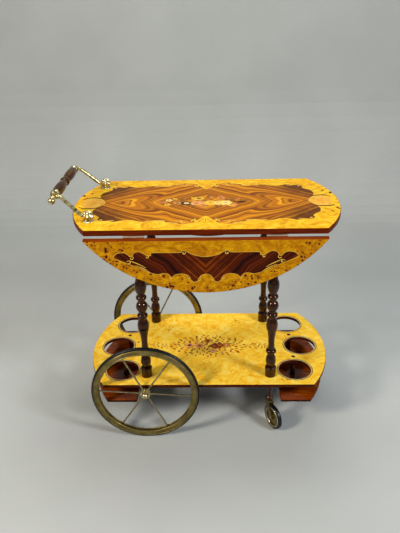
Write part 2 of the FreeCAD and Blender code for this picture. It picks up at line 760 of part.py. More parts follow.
for side, way in sides:
    sign = float(way)
    foot = size("bracket_radius")
    neck = size("bracket_neck_radius")
    high = size("bracket_height")
    stud = size("stud_radius")
    low = size("arm_foot_height")
    bulge = size("bracket_ball_radius")
    tip_wide = size("bracket_tip_radius")
    run = Vector(-size("bracket_inset") - size("grip_overhang"),
                 sign * (size("grip_half") + size("eye_width") / 2) - sign * size("bracket_y"), 0)
    ahead = Vector(run).normalize()
    post = turned(side + "_bracket_post", [
        (0, -size("stud_length")), (stud, -size("stud_length")), (stud, 0), (foot, 0),
        (foot, 0.1 * high), (0.78 * neck, 0.17 * high, neck, 0.3 * high),
        (bulge, low, tip_wide, high), (0, high),
    ])
    bore = doc.addObject("Part::Cylinder", side + "_bracket_bore")
    bore.Placement = Placement(Vector(), Rotation(Vector(0, 0, 1), ahead))
    bind(bore, Radius="arm_radius + joint_fit", Height="2 * bracket_radius", z="arm_foot_height",
         x="%.9f * joint_fit" % -ahead.x, y="%.9f * joint_fit" % -ahead.y)
    bracket = cut(side + "_handle_bracket", post, [bore])
    bind(node(bracket, side + "_handle_bracket"), x=table_x + " - " + bracket_x,
         y=way + " * bracket_y", z=top_face)

    root = Vector(0, sign * size("bracket_y"), low)
    tip = Vector(root.x + run.x, root.y + run.y, size("grip_height"))
    level_run = ahead * size("arm_level_run")
    corners = [root, root + ahead * size("arm_foot_run"), tip - level_run, tip]
    bar = bent_bar(corners, [size("arm_foot_bend"), size("arm_head_bend")], size("arm_radius"))
    start = Vector(tip.x, tip.y - size("eye_width") / 2, tip.z)
    eye = Part.makeCylinder(size("eye_radius"), size("eye_width"), start, Vector(0, 1, 0))
    bore = Part.makeCylinder(size("rod_radius"), size("eye_width"), start, Vector(0, 1, 0))
    end = Vector(tip.x - size("arm_ball_out"), sign * (size("grip_half") + size("arm_ball_radius")),
                 tip.z - size("arm_ball_drop"))
    knob = Part.makeSphere(size("arm_ball_radius"), end)
    arm = doc.addObject("Part::Feature", side + "_handle_arm")
    arm.Shape = bar.fuse([eye, knob]).removeSplitter().cut(bore)
    arm.Placement = Placement(Vector(), Rotation())
    bind(node(arm, side + "_handle_arm"), x=table_x + " - " + bracket_x, z=top_face)

grip = size("grip_radius")
waist = size("grip_neck_radius")
half = size("grip_half")
bore = size("rod_radius")
collar = size("grip_collar")
bead = size("grip_bead") / 2
groove = bead + size("grip_groove")
belly = (half - collar + groove) / 2
outline = [(bore, -half), (waist, -half), (0.87 * grip, -half + collar / 2, waist, -half + collar),
           (grip, -belly, waist, -groove), (waist, -bead), (0.97 * grip, 0, waist, bead), (waist, groove),
           (grip, belly, waist, half - collar), (0.87 * grip, half - collar / 2, waist, half), (bore, half)]
wood = node(turned("handle_grip", outline), "handle_grip")
wood.Placement = Placement(Vector(), turns["y"])
bind(wood, x=grip_x, z=grip_z)

knobs = []
for side, way in sides:
    out = "(grip_half + eye_width + knob_radius)"
    knobs.append(ball(side + "_knob", "knob_radius", grip_x, way + " * " + out, grip_z))
    knobs.append(rod(side + "_knob_neck", "knob_neck_radius", "knob_radius", grip_x,
                     "%s * (%s - knob_radius / 2) - knob_radius / 2" % (way, out), grip_z, "y"))
long = "(grip_half + eye_width + knob_radius)"
knobs.append(rod("tie_rod", "rod_radius", "2 * " + long, grip_x, "-" + long, grip_z, "y"))
node(joined("handle_rod", knobs), "handle_rod")

doc.recompute()
for item in doc.Objects:
    if "Invalid" in item.State or "Error" in item.State:
        raise RuntimeError("failed: " + item.Label + " " + str(item.State))
for piece in nodes:
    if piece.Shape.isNull() or not piece.Shape.isValid() or not piece.Shape.Solids:
        raise RuntimeError("bad shape: " + piece.Label)

os.makedirs("parts", exist_ok=True)
for piece in nodes:
    piece.Shape.exportStep("parts/" + piece.Label + ".step")
print(len(nodes), "pieces written")
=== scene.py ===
import bpy
import json
import math
import numpy as np
from mathutils import Matrix, Vector


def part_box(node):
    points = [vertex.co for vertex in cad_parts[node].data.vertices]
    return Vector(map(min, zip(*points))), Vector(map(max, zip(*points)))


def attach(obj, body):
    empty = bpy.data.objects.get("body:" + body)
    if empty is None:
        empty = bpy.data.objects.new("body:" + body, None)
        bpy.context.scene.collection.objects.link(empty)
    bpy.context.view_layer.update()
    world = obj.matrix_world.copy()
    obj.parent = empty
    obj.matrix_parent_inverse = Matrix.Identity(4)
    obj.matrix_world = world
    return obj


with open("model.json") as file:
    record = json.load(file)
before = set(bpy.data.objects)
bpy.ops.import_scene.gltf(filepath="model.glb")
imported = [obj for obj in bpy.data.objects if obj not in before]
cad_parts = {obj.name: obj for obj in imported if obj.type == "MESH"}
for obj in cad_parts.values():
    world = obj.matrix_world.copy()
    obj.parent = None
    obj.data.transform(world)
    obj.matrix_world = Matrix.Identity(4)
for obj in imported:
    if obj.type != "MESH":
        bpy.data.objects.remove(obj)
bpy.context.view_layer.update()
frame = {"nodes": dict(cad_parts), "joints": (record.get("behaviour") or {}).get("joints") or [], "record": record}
nodes = frame["nodes"]
scene = bpy.context.scene
print("frame loaded:", len(nodes), "nodes")

# shared places of the trolley, read off the solids, in metres
mm = 0.001
boardBox = np.array(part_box("top_board"))
hingeLine = np.array(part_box("rear_hinge_pins")).mean(0)
tableX = float(boardBox[:, 0].mean())
topFace = float(boardBox[1, 2])
shelfFace = float(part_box("lower_shelf")[1][2])
restFace = float(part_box("left_bottle_rest")[1][2])
hingeY, hingeZ = float(hingeLine[1]), float(hingeLine[2])
leafFace = topFace - hingeZ  # the show face of a leaf lies this far from its hinge line
leafTilt = math.radians(9.3)  # the leaves hang turned in past plumb
sinTilt, cosTilt = math.sin(leafTilt), math.cos(leafTilt)
sides = ("front", "rear")


# colour and node helpers
def srgb(hexText):
    parts = [int(hexText[i:i + 2], 16) / 255 for i in (1, 3, 5)]
    return tuple(c / 12.92 if c <= 0.04045 else ((c + 0.055) / 1.055) ** 2.4 for c in parts) + (1.0,)


def feed(node, sockets):
    # a socket takes an output that is joined to it, a hex colour or a plain value
    for key, value in sockets.items():
        if isinstance(value, bpy.types.NodeSocket):
            node.id_data.links.new(value, node.inputs[key])
        else:
            node.inputs[key].default_value = srgb(value) if isinstance(value, str) else value


def addNode(tree, kind, sockets=None, out=0, stops=None, **settings):
    # stops fill a colour ramp
    node = tree.nodes.new("ShaderNode" + kind)
    for name, value in settings.items():
        setattr(node, name, value)
    feed(node, sockets or {})
    if stops:
        elements = node.color_ramp.elements
        while len(elements) < len(stops):
            elements.new(1.0)
        for element, (place, colour) in zip(elements, stops):
            element.position = place
            element.color = srgb(colour)
    return node.outputs[out]


def newMaterial(name):
    material = bpy.data.materials.new(name)
    material.use_nodes = True
    tree = material.node_tree
    return material, tree, addNode(tree, "TexCoord", out="Object")


def finished(material, **sockets):
    shader = material.node_tree.nodes["Principled BSDF"]
    feed(shader, {key.replace("_", " "): value for key, value in sockets.items()})
    return material


colours = {"out": 2, "data_type": "RGBA"}  # settings of a Mix node that mixes colours

# clear gloss lacquer over every veneer: a thin bright coat, little sheen from the wood itself
lacquer = {"Specular_IOR_Level": 0.03, "Coat_Weight": 0.1, "Coat_Roughness": 0.08, "IOR": 1.5}


# Golden burl veneer under gloss lacquer: cloudy yellow figure, small dark eyes in
# clusters, and a plain mahogany lipping wherever the surface leaves the show face.
def burlVeneer(name, faceNormal, faceOffset, burlSet):
    material, tree, coords = newMaterial(name)
    eyes = burlSet["eyes"]
    centred = addNode(tree, "Mapping", {0: coords, "Location": (-tableX, 0, 0)})
    # clouds 50 mm across, wavy grain 8 mm across
    cloud = addNode(tree, "TexNoise", {"Vector": centred, "Scale": 1 / 0.05, "Detail": 4.0, "Roughness": 0.6,
                                       "Distortion": 2.4})
    drawn = addNode(tree, "Mapping", {0: centred, "Scale": (0.5, 1.3, 1.3)})
    grain = addNode(tree, "TexNoise", {"Vector": drawn, "Scale": 1 / 0.008, "Detail": 4.0, "Roughness": 0.65,
                                       "Distortion": 1.6})
    half = addNode(tree, "Math", {0: grain, 1: 0.42}, operation="MULTIPLY")
    figure = addNode(tree, "Math", {0: cloud, 1: 0.58, 2: half}, operation="MULTIPLY_ADD")
    colour = addNode(tree, "ValToRGB", {0: figure}, stops=burlSet["tones"])
    # eyes: near points of a bent cell pattern, each its own size, kept only where a broad noise is high
    bent = addNode(tree, "TexNoise", {"Vector": centred, "Scale": 1 / 0.006, "Detail": 2.0}, out="Color")
    moved = addNode(tree, "VectorMath", {0: bent, 1: (0.006,) * 3, 2: centred}, operation="MULTIPLY_ADD")
    cells = addNode(tree, "TexVoronoi", {"Vector": moved, "Scale": 1 / eyes["spacing"]}).node.outputs
    chance = addNode(tree, "SeparateColor", {0: cells["Color"]})
    patch = addNode(tree, "TexNoise", {"Vector": centred, "Scale": 1 / eyes["patch"], "Detail": 2.0})
    if "rim" in eyes:
        # eyes gather towards the round outer edge
        rim = eyes["rim"]
        placed = addNode(tree, "Mapping", {0: centred, "Scale": rim["scale"], "Location": rim["move"]})
        reach = addNode(tree, "VectorMath", {0: placed}, "Value", operation="LENGTH")
        lift = addNode(tree, "MapRange", {0: reach, 1: rim["from"], 2: rim["to"], 3: rim["few"],
                                          4: rim["many"]})
        patch = addNode(tree, "Math", {0: patch, 1: lift}, operation="ADD")
    keep = addNode(tree, "MapRange", {0: patch, 1: eyes["level"], 2: eyes["level"] + 0.12, 3: 0.0,
                                      4: eyes["size"]})
    keep = addNode(tree, "Math", {0: keep, 1: chance}, operation="MULTIPLY")
    dark = addNode(tree, "Math", {0: cells["Distance"], 1: keep}, operation="LESS_THAN")
    around = addNode(tree, "Math", {0: keep, 1: 0.35}, operation="ADD")
    halo = addNode(tree, "MapRange", {0: cells["Distance"], 1: keep, 2: around, 3: 0.75, 4: 0.0})
    real = addNode(tree, "Math", {0: keep, 1: 0.04}, operation="GREATER_THAN")
    halo = addNode(tree, "Math", {0: halo, 1: real}, operation="MULTIPLY")
    colour = addNode(tree, "Mix", {0: halo, 6: colour, 7: eyes["halo"]}, **colours)
    colour = addNode(tree, "Mix", {0: dark, 6: colour, 7: eyes["colour"]}, **colours)
    # lipping: all that lies 0.4 mm or more under the show face, with straight streaks 3.5 mm apart
    height = addNode(tree, "VectorMath", {0: coords, 1: faceNormal}, "Value", operation="DOT_PRODUCT")
    onFace = addNode(tree, "Math", {0: height, 1: faceOffset - 0.0004}, operation="GREATER_THAN")
    longGrain = addNode(tree, "Mapping", {0: coords, "Scale": (0.06, 1.0, 1.0)})
    streak = addNode(tree, "TexNoise", {"Vector": longGrain, "Scale": 1 / 0.0035, "Detail": 4.0})
    edge = addNode(tree, "ValToRGB", {0: streak}, stops=burlSet["lipping"])
    colour = addNode(tree, "Mix", {0: onFace, 6: edge, 7: colour}, **colours)
    rough = addNode(tree, "MapRange", {0: grain, 1: 0.3, 2: 0.7, 3: 0.28, 4: 0.42})
    bump = addNode(tree, "Bump", {"Height": grain, "Distance": 0.00004, "Strength": 0.4})
    return finished(material, Base_Color=colour, Roughness=rough, Normal=bump, **lacquer)


# Sliced rosewood in mirrored leaves: dark growth lines and lighter bands that fold back
# at the centre lines, so that the figure meets in diamonds or chevrons.
def rosewoodPanel(name, figureSet):
    material, tree, coords = newMaterial(name)
    placed = addNode(tree, "Mapping", {0: coords, "Location": (-tableX, 0, 0)})
    folded = addNode(tree, "VectorMath", {0: placed}, operation="ABSOLUTE")
    wander = addNode(tree, "TexNoise", {"Vector": folded, "Scale": 1 / figureSet["bend"], "Detail": 2.0})
    lean = addNode(tree, "VectorMath", {0: folded, 1: figureSet["across"]}, "Value", operation="DOT_PRODUCT")
    run = addNode(tree, "Math", {0: wander, 1: figureSet["wander"], 2: lean}, operation="MULTIPLY_ADD")
    # the lines close up round one leaning oval in each leaf, as they do beside a limb
    limb = figureSet["limb"]
    apart = addNode(tree, "Mapping", {0: folded, "Location": limb["place"], "Rotation": limb["turn"],
                                      "Scale": limb["size"]}, vector_type="TEXTURE")
    far = addNode(tree, "VectorMath", {0: apart}, "Value", operation="LENGTH")
    swell = addNode(tree, "MapRange", {0: far, 1: 0.0, 2: 1.0, 3: limb["depth"], 4: 0.0})
    run = addNode(tree, "Math", {0: run, 1: swell}, operation="ADD")
    line = addNode(tree, "CombineXYZ", {0: run})
    broad = addNode(tree, "TexNoise", {"Vector": line, "Scale": 1 / figureSet["band"], "Detail": 1.0})
    rings = addNode(tree, "TexNoise", {"Vector": line, "Scale": 1 / figureSet["ring"], "Detail": 2.0,
                                       "Roughness": 0.6})
    half = addNode(tree, "Math", {0: rings, 1: 0.6}, operation="MULTIPLY")
    figure = addNode(tree, "Math", {0: broad, 1: 0.4, 2: half}, operation="MULTIPLY_ADD")
    colour = addNode(tree, "ValToRGB", {0: figure}, stops=figureSet["tones"])
    # thin dark growth lines, drawn about 3 mm wide so that they show
    hair = addNode(tree, "TexNoise", {"Vector": line, "Scale": 1 / figureSet["hair"], "Detail": 0.0})
    inked = addNode(tree, "MapRange", {0: hair, 1: 0.36, 2: 0.46, 3: figureSet["ink"], 4: 0.0})
    colour = addNode(tree, "Mix", {0: inked, 6: colour, 7: figureSet["line"]}, **colours)
    # darker heartwood away from the middle, its border clouded at 45 mm
    shade = figureSet["heart"]
    out = addNode(tree, "VectorMath", {0: folded, 1: shade["along"]}, "Value", operation="DOT_PRODUCT")
    cloud = addNode(tree, "TexNoise", {"Vector": folded, "Scale": 1 / 0.045, "Detail": 3.0})
    out = addNode(tree, "Math", {0: cloud, 1: shade["cloud"], 2: out}, operation="MULTIPLY_ADD")
    heart = addNode(tree, "MapRange", {0: out, 1: shade["from"], 2: shade["to"], 3: 0.0, 4: shade["most"]})
    colour = addNode(tree, "Mix", {0: heart, 6: colour, 7: shade["colour"]}, **colours, blend_type="MULTIPLY")
    # pores 2.5 mm apart, coarser than real ones so that they show
    pores = addNode(tree, "TexNoise", {"Vector": folded, "Scale": 1 / 0.0025, "Detail": 3.0})
    rough = addNode(tree, "MapRange", {0: pores, 1: 0.3, 2: 0.7, 3: 0.28, 4: 0.42})
    bump = addNode(tree, "Bump", {"Height": pores, "Distance": 0.00003, "Strength": 0.4})
    return finished(material, Base_Color=colour, Roughness=rough, Normal=bump, **lacquer)


# Dyed or plain veneer cut for inlay: one wood tone with fine straight grain, scorched
# darker towards the middle of each petal as hot sand does.
def inlayVeneer(name, dark, light, scorch):
    material, tree, coords = newMaterial(name)
    # grain 12 mm long and 2.4 mm wide, drawn coarse so that it shows
    drawn = addNode(tree, "Mapping", {0: coords, "Scale": (1.0, 5.0, 5.0)})
    grain = addNode(tree, "TexNoise", {"Vector": drawn, "Scale": 1 / 0.012, "Detail": 4.0})
    colour = addNode(tree, "ValToRGB", {0: grain}, stops=((0.3, dark), (0.7, light)))
    edge = addNode(tree, "Attribute", out="Fac", attribute_name="edge")
    burnt = addNode(tree, "MapRange", {0: edge, 1: 0.1, 2: 0.75, 3: 0.75, 4: 0.0})
    colour = addNode(tree, "Mix", {0: burnt, 6: colour, 7: scorch}, **colours)
    rough = addNode(tree, "MapRange", {0: grain, 3: 0.26, 4: 0.4})
    return finished(material, Base_Color=colour, Roughness=rough, **lacquer)


# Turned hardwood, stained dark and lacquered: streaks along the turning axis under a wet-looking
# gloss that has an amber tinge.
def turnedWood(name, woodSet):
    material, tree, coords = newMaterial(name)
    # streaks 6 mm wide
    drawn = addNode(tree, "Mapping", {0: coords, "Scale": woodSet["stretch"]})
    grain = addNode(tree, "TexNoise", {"Vector": drawn, "Scale": 1 / 0.006, "Detail": 5.0, "Roughness": 0.6,
                                       "Distortion": 0.5})
    colour = addNode(tree, "ValToRGB", {0: grain}, stops=woodSet["tones"])
    if "edge" in woodSet:
        # painted shade: the edges below the upper face are coloured darker
        face = woodSet["edge"]["face"]
        high = addNode(tree, "SeparateXYZ", {0: coords}, out=2)
        below = addNode(tree, "MapRange", {0: high, 1: face - 0.0008, 2: face - 0.0004, 3: 1.0, 4: 0.0})
        colour = addNode(tree, "Mix", {0: below, 6: colour, 7: woodSet["edge"]["colour"]}, **colours)
    rough = addNode(tree, "MapRange", {0: grain, 3: 0.06, 4: 0.12})
    bump = addNode(tree, "Bump", {"Height": grain, "Distance": 0.00001, "Strength": 0.3})
    return finished(material, Base_Color=colour, Roughness=rough, Normal=bump, IOR=1.5,
                    Specular_IOR_Level=woodSet["sheen"], Specular_Tint=woodSet["amber"],
                    Coat_Weight=woodSet["coat"], Coat_Roughness=0.04)


# Brass, cast, drawn or pressed and nickelled: clean metal with darker patina in blotches and a
# fine file grain; on the handle arms the blotches also paint highlights and shade.
def brassMetal(name, brassSet):
    material, tree, coords = newMaterial(name)
    blot = addNode(tree, "TexNoise", {"Vector": coords, "Scale": 1 / brassSet["patch"], "Detail": 6.0,
                                      "Roughness": 0.65})
    colour = addNode(tree, "ValToRGB", {0: blot}, stops=brassSet["tones"])
    # file grain 1.6 mm wide, coarser than the real one so that it shows
    fine = addNode(tree, "TexNoise", {"Vector": coords, "Scale": 1 / 0.0016, "Detail": 3.0})
    worn = addNode(tree, "MapRange", {0: blot, 1: 0.2, 2: 0.8, 3: brassSet["rough"] + 0.1,
                                      4: brassSet["rough"] - 0.06})
    rough = addNode(tree, "Math", {0: fine, 1: 0.08, 2: worn}, operation="MULTIPLY_ADD")
    bump = addNode(tree, "Bump", {"Height": fine, "Distance": brassSet["pits"], "Strength": 0.3})
    return finished(material, Metallic=1.0, Base_Color=colour, Roughness=rough, Normal=bump)


# Vulcanised rubber: near black, dusty where it has been rolled on, softly rough.
def tyreRubber(name):
    material, tree, coords = newMaterial(name)
    # dust in patches 20 mm across
    dust = addNode(tree, "TexNoise", {"Vector": coords, "Scale": 1 / 0.02, "Detail": 5.0})
    colour = addNode(tree, "ValToRGB", {0: dust}, stops=((0.35, "#060607"), (0.75, "#161718")))
    rough = addNode(tree, "MapRange", {0: dust, 3: 0.22, 4: 0.4})
    bump = addNode(tree, "Bump", {"Height": dust, "Distance": 0.0001, "Strength": 0.3})
    return finished(material, Base_Color=colour, Roughness=rough, Normal=bump, IOR=1.5,
                    Specular_IOR_Level=0.25)


# Bright steel: drawn bar and pressed screws with faint brushing.
def brightSteel(name):
    material, tree, coords = newMaterial(name)
    # brushing 1.2 mm wide, drawn coarse so that it shows
    drawn = addNode(tree, "Mapping", {0: coords, "Scale": (1.0, 0.1, 1.0)})
    brush = addNode(tree, "TexNoise", {"Vector": drawn, "Scale": 1 / 0.0012, "Detail": 4.0})
    colour = addNode(tree, "ValToRGB", {0: brush}, stops=((0.3, "#8b8882"), (0.7, "#b4b1aa")))
    rough = addNode(tree, "MapRange", {0: brush, 3: 0.26, 4: 0.42})
    return finished(material, Metallic=1.0, Base_Color=colour, Roughness=rough)


# burl: tones from the shadow of the clouds to their light, eyes, and the lipping round the edge
fewEyes = {"spacing": 0.010, "patch": 0.06, "level": 0.63, "size": 0.34,
           "halo": "#a8640c", "colour": "#4a2004"}
leafRim = {"scale": (1, 0, 1 / cosTilt), "move": (0, 0, -hingeZ / cosTilt - hingeY), "from": 0.24, "to": 0.33,
           "few": -0.22, "many": 0.12}
leafEyes = {"spacing": 0.0078, "patch": 0.03, "level": 0.47, "size": 0.52,
            "halo": "#a45a06", "colour": "#401402", "rim": leafRim}
topBurl = {"tones": ((0.34, "#b67800"), (0.45, "#dc9e08"), (0.54, "#eeba1a"), (0.66, "#fcd448")),
           "lipping": ((0.3, "#440e00"), (0.7, "#6a2200")), "eyes": fewEyes}
# the leaves' burl has darker tones than the top's: painted shade on the hanging leaves
shadedLeafBurl = {"tones": ((0.34, "#844a00"), (0.45, "#ac7000"), (0.54, "#c28600"), (0.66, "#dea80c")),
            "lipping": ((0.3, "#5a1e00"), (0.7, "#883a02")), "eyes": leafEyes}
# the shelf's burl has paler tones than the top's: painted light that offsets the shade of the top board over the
# shelf
litShelfBurl = {"tones": ((0.34, "#e2980c"), (0.45, "#f8be28"), (0.54, "#fed240"), (0.66, "#ffe67c")),
             "lipping": ((0.3, "#331003"), (0.7, "#4e1c06")), "eyes": fewEyes}

# rosewood: which way the growth lines run, how far they wander, and where the heartwood begins
topFigure = {"across": (0.6, 0.8, 0.0), "bend": 0.12, "wander": 0.045,
             "band": 0.03, "ring": 0.013, "hair": 0.0065, "ink": 0.7, "line": "#5a2a00",
             "tones": ((0.38, "#743800"), (0.46, "#9c5600"), (0.53, "#c07400"), (0.62, "#e29a0a")),
             "limb": {"place": (0.25, -0.006, topFace), "turn": (0, 0, math.radians(140)),
                      "size": (0.2, 0.05, 1.0), "depth": -0.08},
             "heart": {"along": (0.75, 0.75, 0.0), "cloud": 0.08, "from": 0.24, "to": 0.3, "most": 0.85,
                       "colour": "#644434"}}
leafFigure = {"across": (0.72, 0.0, -0.7), "bend": 0.12, "wander": 0.014,
              "band": 0.024, "ring": 0.008, "hair": 0.0055, "ink": 0.8, "line": "#1c0500",
              "tones": ((0.36, "#2a0800"), (0.45, "#4a1500"), (0.53, "#702a00"), (0.62, "#964c06")),
              "limb": {"place": (0.1, hingeY, hingeZ - 0.07), "turn": (0, math.radians(40), 0),
                       "size": (0.06, 1.0, 0.03), "depth": 0.009},
              "heart": {"along": (1.0, 0.0, 0.0), "cloud": 0.4, "from": 0.17, "to": 0.27, "most": 0.7,
                        "colour": "#925a48"}}

# stained wood: tones across the grain, the way the grain runs, how much the lacquer shines,
# its amber tinge, and the painted shade of the edges below the upper face
legWood = {"tones": ((0.28, "#0c0200"), (0.5, "#200a00"), (0.74, "#461e00")), "stretch": (1.0, 1.0, 0.08),
           "sheen": 0.3, "amber": "#ffb070", "coat": 0.42}
gripWood = {"tones": ((0.28, "#1a0a00"), (0.5, "#3e2204"), (0.74, "#6c460e")), "stretch": (1.0, 0.08, 1.0),
            "sheen": 0.1, "amber": "#ffb478", "coat": 0.08}
restWood = {"tones": ((0.28, "#581a00"), (0.5, "#7a3000"), (0.74, "#9a4c04")), "stretch": (0.12, 1.0, 1.0),
            # the edge colour of the rest plates is painted shade
            "sheen": 0.1, "amber": "#ffc89c", "coat": 0.2, "edge": {"face": restFace, "colour": "#2c0a00"}}

# brass: how broad the patina lies, its tones, and how rough and pitted the metal is
agedBrass = {"patch": 0.03, "tones": ((0.3, "#5e5028"), (0.7, "#9e8c56")), "rough": 0.34, "pits": 0.00003}
castBrass = {"patch": 0.012, "tones": ((0.3, "#7c6c3c"), (0.62, "#e4d8a8")), "rough": 0.22, "pits": 0.000004}
# on the handle arms the blotches are small with steep pale and dark tones: partly patina, partly painted
# highlights and painted shade in the dents
armBrassPaintedShine = {"patch": 0.008, "tones": ((0.38, "#4c4018"), (0.58, "#d8ca90")), "rough": 0.26, "pits": 0.00012}
spokeBrass = {"patch": 0.01, "tones": ((0.3, "#5c5030"), (0.66, "#b8ac84")), "rough": 0.22, "pits": 0.00002}
beadBrass = {"patch": 0.02, "tones": ((0.3, "#a09468"), (0.64, "#e4dabc")), "rough": 0.24, "pits": 0.00001}
hingeBrass = {"patch": 0.02, "tones": ((0.3, "#c8b89c"), (0.65, "#fff0d8")), "rough": 0.32, "pits": 0.00002}

# inlay woods: the dark and the light of the grain, and the scorched tone
veneers = {
    "maple": ("maple_stringing", "#d09c20", "#ecc65a", "#9c6410"),
    "tongueMaple": ("toasted_maple_veneer", "#c07808", "#fccc58", "#e0981c"),
    "ebony": ("ebonised_veneer", "#200c02", "#3c1a06", "#140600"),
    "holly": ("holly_veneer", "#dcc078", "#f0daa4", "#b08440"),
    "sycamore": ("weathered_sycamore_veneer", "#b4965c", "#d4ba84", "#8c6c38"),
    "boxwood": ("boxwood_veneer", "#d89c20", "#f4cc4c", "#a86410"),
    "pear": ("steamed_pear_veneer", "#bc7434", "#dc9c5c", "#7c3c10"),
    "rosePear": ("rose_pear_veneer", "#d48a4c", "#eeae74", "#a85c28"),
    "paleBoxwood": ("pale_boxwood_veneer", "#e4bc48", "#f8dc7c", "#b88c24"),
    "cherry": ("cherry_veneer", "#a04a0c", "#c8701e", "#5c2404"),
    "olive": ("olive_dyed_veneer", "#745014", "#9c7428", "#462a06"),
    "padauk": ("padauk_veneer", "#642004", "#8c340a", "#380e00"),
}

frontFace, rearFace = (0.0, -cosTilt, -sinTilt), (0.0, cosTilt, -sinTilt)
leafPlane = hingeY * cosTilt - hingeZ * sinTilt + leafFace
finish = {
    "topBurl": burlVeneer("burl_veneer_top", (0, 0, 1), topFace, topBurl),
    "frontBurl": burlVeneer("burl_veneer_front_leaf_painted_shade", frontFace, leafPlane, shadedLeafBurl),
    "rearBurl": burlVeneer("burl_veneer_rear_leaf_painted_shade", rearFace, leafPlane, shadedLeafBurl),
    "litShelfBurl": burlVeneer("burl_veneer_shelf_painted_light", (0, 0, 1), shelfFace, litShelfBurl),
    "topRosewood": rosewoodPanel("rosewood_diamond_panel", topFigure),
    "leafRosewood": rosewoodPanel("rosewood_chevron_panel", leafFigure),
    "walnut": turnedWood("turned_walnut", legWood),
    "gripWood": turnedWood("turned_walnut_grip", gripWood),
    "restWood": turnedWood("red_mahogany_veneer", restWood),
    "agedBrass": brassMetal("aged_brass", agedBrass),
    "castBrass": brassMetal("polished_cast_brass", castBrass),
    "beadBrass": brassMetal("burnished_brass_bead", beadBrass),
    "armBrassPaintedShine": brassMetal("arm_brass_patina_and_painted_shine", armBrassPaintedShine),
    "spokeBrass": brassMetal("drawn_brass_rod", spokeBrass),
    "hingeBrass": brassMetal("nickelled_sheet_brass", hingeBrass),
    "rubber": tyreRubber("vulcanised_rubber"),
    "steel": brightSteel("bright_steel"),
}
finish.update({key: inlayVeneer(*look) for key, look in veneers.items()})
slotFinish = {"turned_walnut": "walnut", "red_veneer": "restWood", "aged_brass": "agedBrass",
              "polished_brass": "castBrass", "hinge_brass": "hingeBrass", "bright_steel": "steel",
              "black_rubber": "rubber"}
nodeFinish = {"top_board": "topBurl", "front_leaf": "frontBurl", "rear_leaf": "rearBurl",
              "lower_shelf": "litShelfBurl", "handle_grip": "gripWood"}
pairFinish = {"_wheel_cap": "castBrass", "_wheel_hub": "castBrass", "_wheel_spokes": "spokeBrass",
              "_handle_arm": "armBrassPaintedShine"}
for side in sides:
    nodeFinish.update({side + tail: key for tail, key in pairFinish.items()})
for part in frame["record"]["subparts"]:
    key = nodeFinish.get(part["node"]) or slotFinish[part["material_slot"]]
    data = nodes[part["node"]].data
    data.materials.clear()
    data.materials.append(finish[key])
print("finishes set:", len(finish))


# surfaces that carry inlay: origin, right, up and outward directions
def surface(origin, right, up):
    right, up = np.array(right, float), np.array(up, float)
    return {"origin": np.array(origin, float), "right": right, "up": up, "out": np.cross(right, up)}


leafY, leafZ = hingeY + leafFace * cosTilt, hingeZ - leafFace * sinTilt
surfaces = {
    "top": surface((tableX, 0, topFace), (1, 0, 0), (0, 1, 0)),
    "shelf": surface((tableX, 0, shelfFace), (1, 0, 0), (0, 1, 0)),
    "front": surface((tableX, -leafY, leafZ), (1, 0, 0), (0, -sinTilt, cosTilt)),
    "rear": surface((tableX, leafY, leafZ), (-1, 0, 0), (0, sinTilt, cosTilt)),
}


def addPiece(name, points, faces, body, kinds, edge=None, smooth=False):
    # kinds is a finish for the whole piece, or the finishes used and one index for each face
    mesh = bpy.data.meshes.new(name)
    mesh.from_pydata(points.tolist(), [], faces)
    used, index = kinds if isinstance(kinds, tuple) else ([kinds], None)
    for kind in used:
        mesh.materials.append(finish[kind])
    if index is not None:
        mesh.polygons.foreach_set("material_index", np.array(index, np.int32))
    if edge is not None:
        mesh.attributes.new("edge", "FLOAT", "POINT").data.foreach_set("value", np.array(edge, np.float32))
    mesh.polygons.foreach_set("use_smooth", np.full(len(faces), smooth))
    mesh.update()
    made = bpy.data.objects.new(name, mesh)
    scene.collection.objects.link(made)
    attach(made, body)


slipDeep = 0.1  # how far a slip of veneer reaches under the surface, in millimetres


